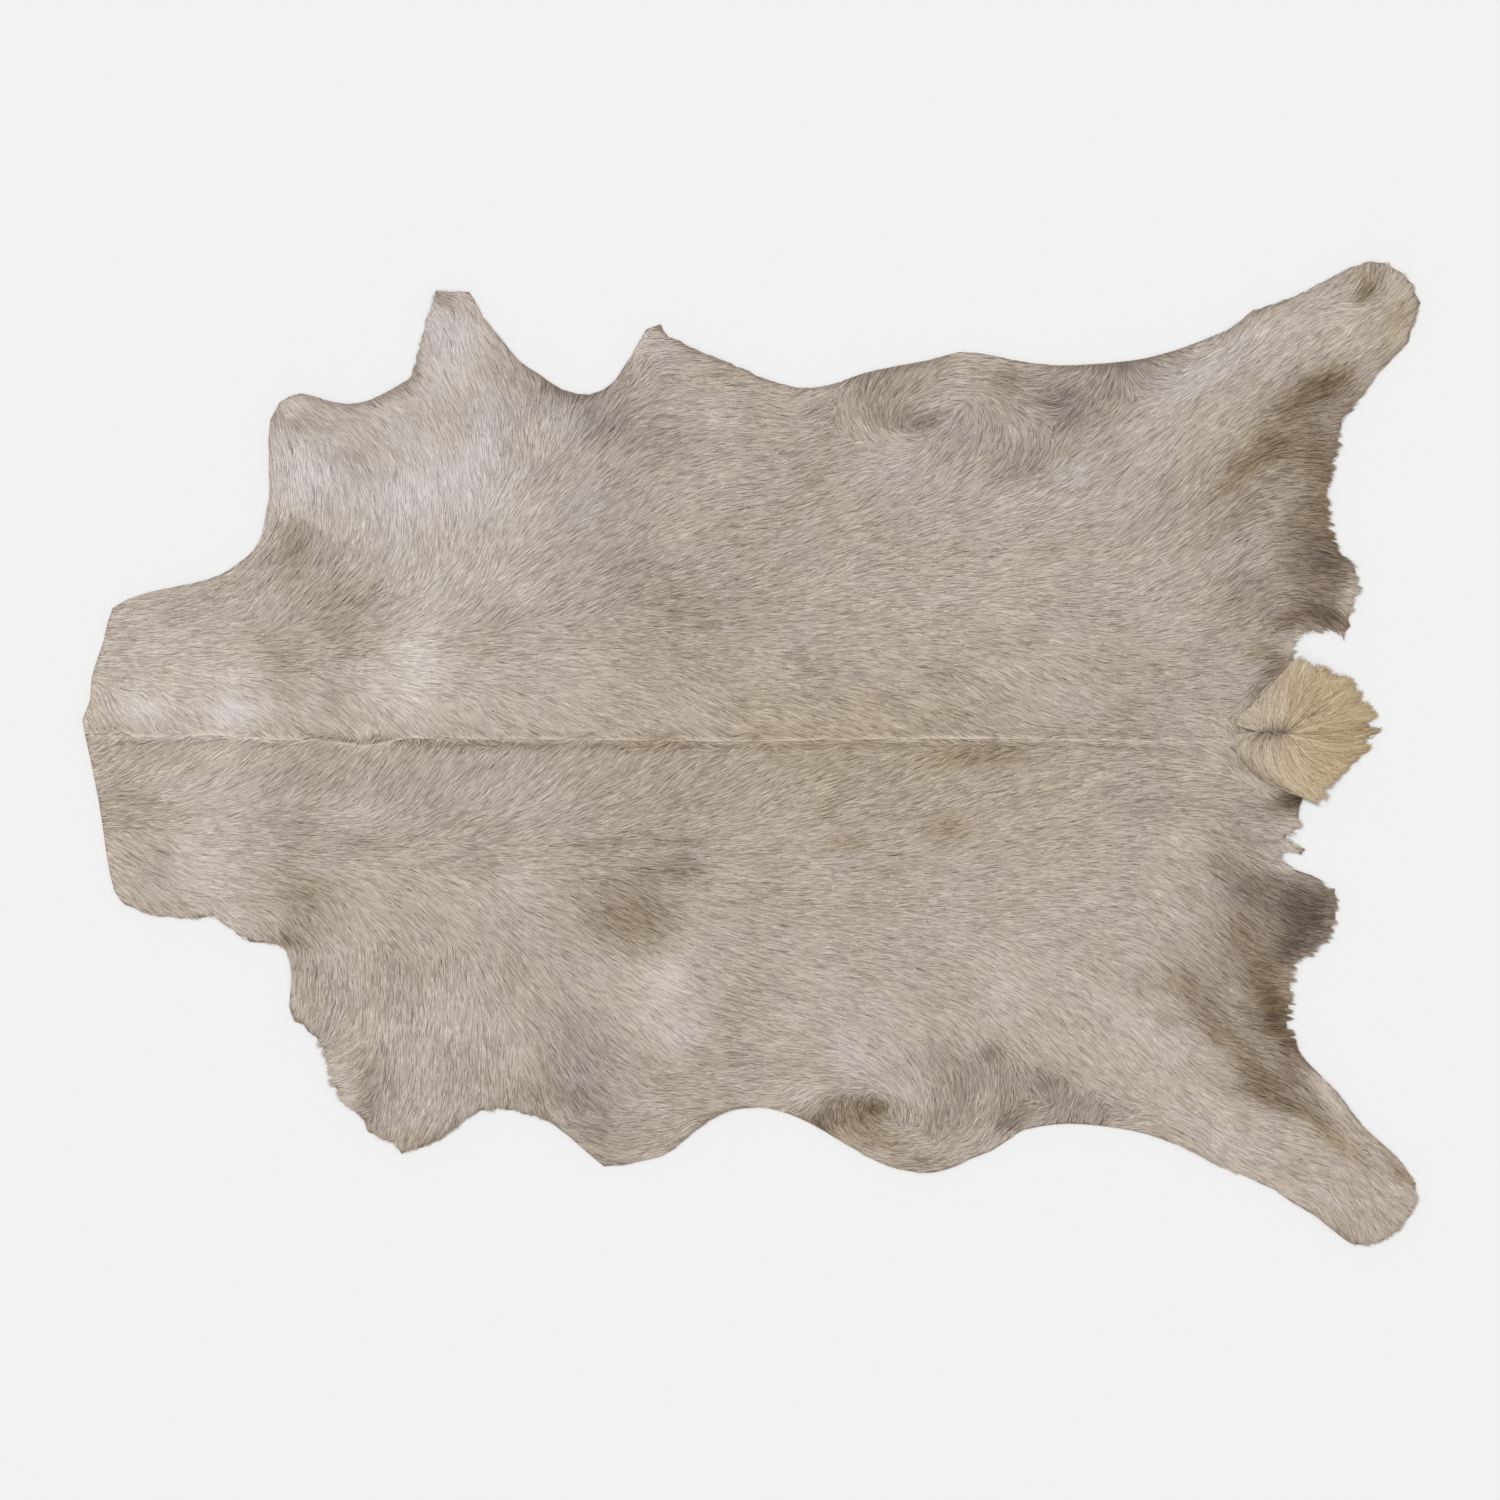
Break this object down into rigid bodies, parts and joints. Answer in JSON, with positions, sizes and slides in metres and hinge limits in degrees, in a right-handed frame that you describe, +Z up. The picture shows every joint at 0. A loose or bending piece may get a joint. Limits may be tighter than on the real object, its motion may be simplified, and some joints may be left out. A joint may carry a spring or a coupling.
{
  "type": "goatskin",
  "caption": "Flat goat hide with short beige-grey hair, leg ends, a spine ridge and a fan of cream tail hair, laid on the floor.",
  "frame": {"origin": "middle of the skin's outline box, on the floor under the hide", "axes": "+X from the neck towards the tail, +Y towards the side whose hind leg lies straighter, +Z up out of the hair"},
  "size_m": [1.005, 0.7412, 0.0083],
  "materials": {
    "hide_hair": "short lying hair on tanned skin, beige-grey with pale and dark patches",
    "tail_hair": "longer lying hair in locks, cream to straw",
    "skin": "tanned suede flesh side and cut edge"
  },
  "bodies": {
    "root": {"hide": "hide_hair", "tail_tuft": "tail_hair"}
  },
  "joints": []
}
